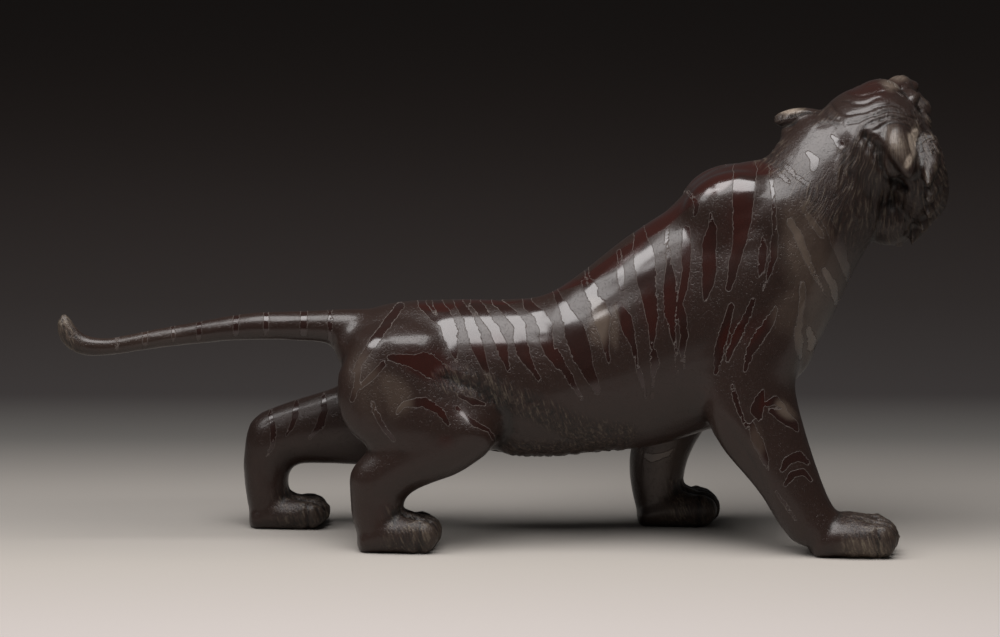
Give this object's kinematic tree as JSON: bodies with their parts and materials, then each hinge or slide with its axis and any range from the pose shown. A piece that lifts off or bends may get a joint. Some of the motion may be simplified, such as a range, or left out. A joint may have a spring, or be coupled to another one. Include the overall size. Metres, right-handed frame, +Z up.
{
  "type": "tiger figurine",
  "caption": "Cast bronze tiger figurine striding on flat paws, its chest raised, its head thrown back over one shoulder and its tail held out behind.",
  "frame": {"origin": "middle of the bounding box at the soles, on the surface that the figure stands on", "axes": "+X towards the chest, along the body and tail; +Y towards the figure's left side; +Z up"},
  "size_m": [0.4164, 0.1034, 0.2151],
  "materials": {
    "patinated_bronze": "dark red-brown patina, polished stripes on a finely pitted ground"
  },
  "bodies": {
    "root": {"tiger": "patinated_bronze"}
  },
  "joints": []
}
